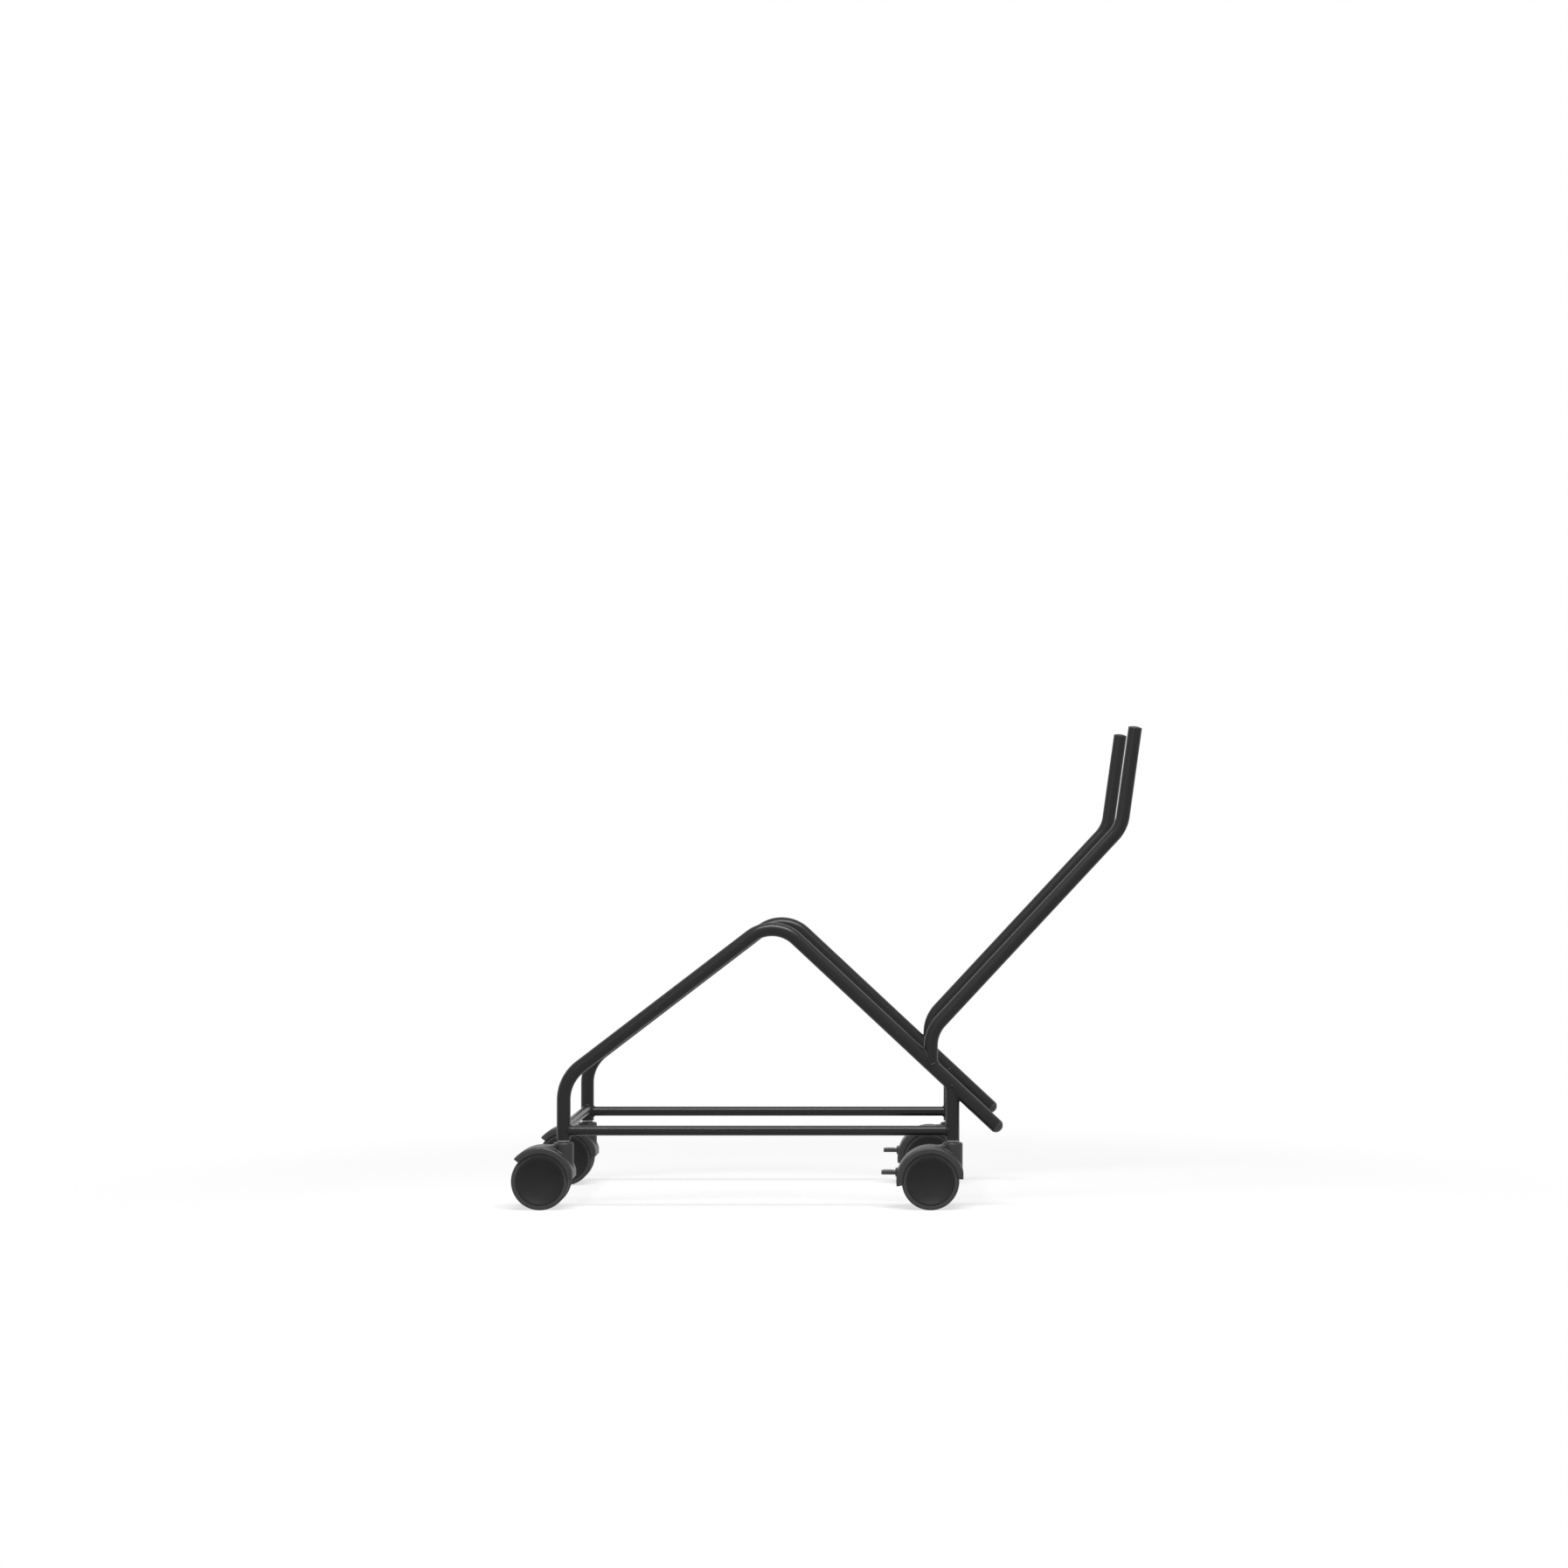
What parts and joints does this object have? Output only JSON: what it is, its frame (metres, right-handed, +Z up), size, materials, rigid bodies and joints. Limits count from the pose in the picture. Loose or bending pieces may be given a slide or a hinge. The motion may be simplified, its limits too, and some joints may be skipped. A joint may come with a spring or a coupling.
{
  "type": "stacking chair trolley",
  "caption": "Bent steel tube trolley with saddle-shaped side frames that carry a leaning stack of chairs, two bent tube handles, and braked twin-wheel swivel castors.",
  "frame": {"origin": "on the floor under the middle of the trolley's outline", "axes": "+X towards the handles, +Y towards the pusher's right-hand side as seen looking along -X, +Z up"},
  "size_m": [1.1416, 0.49, 0.875],
  "materials": {
    "powder_coat": "black powder coat, satin gloss",
    "zinc_steel": "bright zinc plate",
    "castor_nylon": "moulded black nylon, fine texture",
    "wheel_nylon": "moulded dark grey nylon, satin",
    "tyre_rubber": "matt black rubber",
    "pedal_plastic": "moulded black nylon",
    "cap_plastic": "moulded black polyethylene",
    "washer_nylon": "natural nylon"
  },
  "bodies": {
    "frame": {"left_side_frame": "powder_coat", "right_side_frame": "powder_coat", "rear_left_leg": "powder_coat", "rear_right_leg": "powder_coat", "left_rail": "powder_coat", "right_rail": "powder_coat", "front_cross_tube": "powder_coat", "rear_cross_tube": "powder_coat", "left_handle": "powder_coat", "right_handle": "powder_coat", "tail_end_caps": "cap_plastic", "grip_end_caps": "cap_plastic", "leg_sockets": "cap_plastic", "swivel_washers": "washer_nylon", "front_left_stem": "zinc_steel", "front_right_stem": "zinc_steel", "rear_left_stem": "zinc_steel", "rear_right_stem": "zinc_steel"},
    "front_left_castor": {"front_left_hood": "castor_nylon", "front_left_axle": "zinc_steel"},
    "front_left_outer_wheel_set": {"front_left_outer_wheel": "wheel_nylon", "front_left_outer_tyre": "tyre_rubber"},
    "front_left_inner_wheel_set": {"front_left_inner_wheel": "wheel_nylon", "front_left_inner_tyre": "tyre_rubber"},
    "front_right_castor": {"front_right_hood": "castor_nylon", "front_right_axle": "zinc_steel"},
    "front_right_outer_wheel_set": {"front_right_outer_wheel": "wheel_nylon", "front_right_outer_tyre": "tyre_rubber"},
    "front_right_inner_wheel_set": {"front_right_inner_wheel": "wheel_nylon", "front_right_inner_tyre": "tyre_rubber"},
    "rear_left_castor": {"rear_left_hood": "castor_nylon", "rear_left_axle": "zinc_steel", "rear_left_brake_pin": "zinc_steel"},
    "rear_left_outer_wheel_set": {"rear_left_outer_wheel": "wheel_nylon", "rear_left_outer_tyre": "tyre_rubber"},
    "rear_left_inner_wheel_set": {"rear_left_inner_wheel": "wheel_nylon", "rear_left_inner_tyre": "tyre_rubber"},
    "rear_left_brake": {"rear_left_brake_pedal": "pedal_plastic"},
    "rear_right_castor": {"rear_right_hood": "castor_nylon", "rear_right_axle": "zinc_steel", "rear_right_brake_pin": "zinc_steel"},
    "rear_right_outer_wheel_set": {"rear_right_outer_wheel": "wheel_nylon", "rear_right_outer_tyre": "tyre_rubber"},
    "rear_right_inner_wheel_set": {"rear_right_inner_wheel": "wheel_nylon", "rear_right_inner_tyre": "tyre_rubber"},
    "rear_right_brake": {"rear_right_brake_pedal": "pedal_plastic"}
  },
  "joints": [
    {"name": "front_left_swivel", "type": "hinge", "parent": "frame", "child": "front_left_castor", "pos_m": [-0.47883, -0.21, 0.12], "axis": [0, 0, 1], "continuous": true},
    {"name": "front_left_outer_roll", "type": "hinge", "parent": "front_left_castor", "child": "front_left_outer_wheel_set", "pos_m": [-0.51883, -0.2305, 0.052], "axis": [0, 1, 0], "continuous": true},
    {"name": "front_left_inner_roll", "type": "hinge", "parent": "front_left_castor", "child": "front_left_inner_wheel_set", "pos_m": [-0.51883, -0.1895, 0.052], "axis": [0, 1, 0], "continuous": true},
    {"name": "front_right_swivel", "type": "hinge", "parent": "frame", "child": "front_right_castor", "pos_m": [-0.47883, 0.21, 0.12], "axis": [0, 0, 1], "continuous": true},
    {"name": "front_right_outer_roll", "type": "hinge", "parent": "front_right_castor", "child": "front_right_outer_wheel_set", "pos_m": [-0.51883, 0.2305, 0.052], "axis": [0, 1, 0], "continuous": true},
    {"name": "front_right_inner_roll", "type": "hinge", "parent": "front_right_castor", "child": "front_right_inner_wheel_set", "pos_m": [-0.51883, 0.1895, 0.052], "axis": [0, 1, 0], "continuous": true},
    {"name": "rear_left_swivel", "type": "hinge", "parent": "frame", "child": "rear_left_castor", "pos_m": [0.22617, -0.21, 0.12], "axis": [0, 0, 1], "continuous": true},
    {"name": "rear_left_outer_roll", "type": "hinge", "parent": "rear_left_castor", "child": "rear_left_outer_wheel_set", "pos_m": [0.18617, -0.2305, 0.052], "axis": [0, 1, 0], "continuous": true},
    {"name": "rear_left_inner_roll", "type": "hinge", "parent": "rear_left_castor", "child": "rear_left_inner_wheel_set", "pos_m": [0.18617, -0.1895, 0.052], "axis": [0, 1, 0], "continuous": true},
    {"name": "rear_left_brake_press", "type": "hinge", "parent": "rear_left_castor", "child": "rear_left_brake", "pos_m": [0.15017, -0.21, 0.067], "axis": [0, -1, 0], "range_deg": [0, 16]},
    {"name": "rear_right_swivel", "type": "hinge", "parent": "frame", "child": "rear_right_castor", "pos_m": [0.22617, 0.21, 0.12], "axis": [0, 0, 1], "continuous": true},
    {"name": "rear_right_outer_roll", "type": "hinge", "parent": "rear_right_castor", "child": "rear_right_outer_wheel_set", "pos_m": [0.18617, 0.2305, 0.052], "axis": [0, 1, 0], "continuous": true},
    {"name": "rear_right_inner_roll", "type": "hinge", "parent": "rear_right_castor", "child": "rear_right_inner_wheel_set", "pos_m": [0.18617, 0.1895, 0.052], "axis": [0, 1, 0], "continuous": true},
    {"name": "rear_right_brake_press", "type": "hinge", "parent": "rear_right_castor", "child": "rear_right_brake", "pos_m": [0.15017, 0.21, 0.067], "axis": [0, -1, 0], "range_deg": [0, 16]}
  ]
}
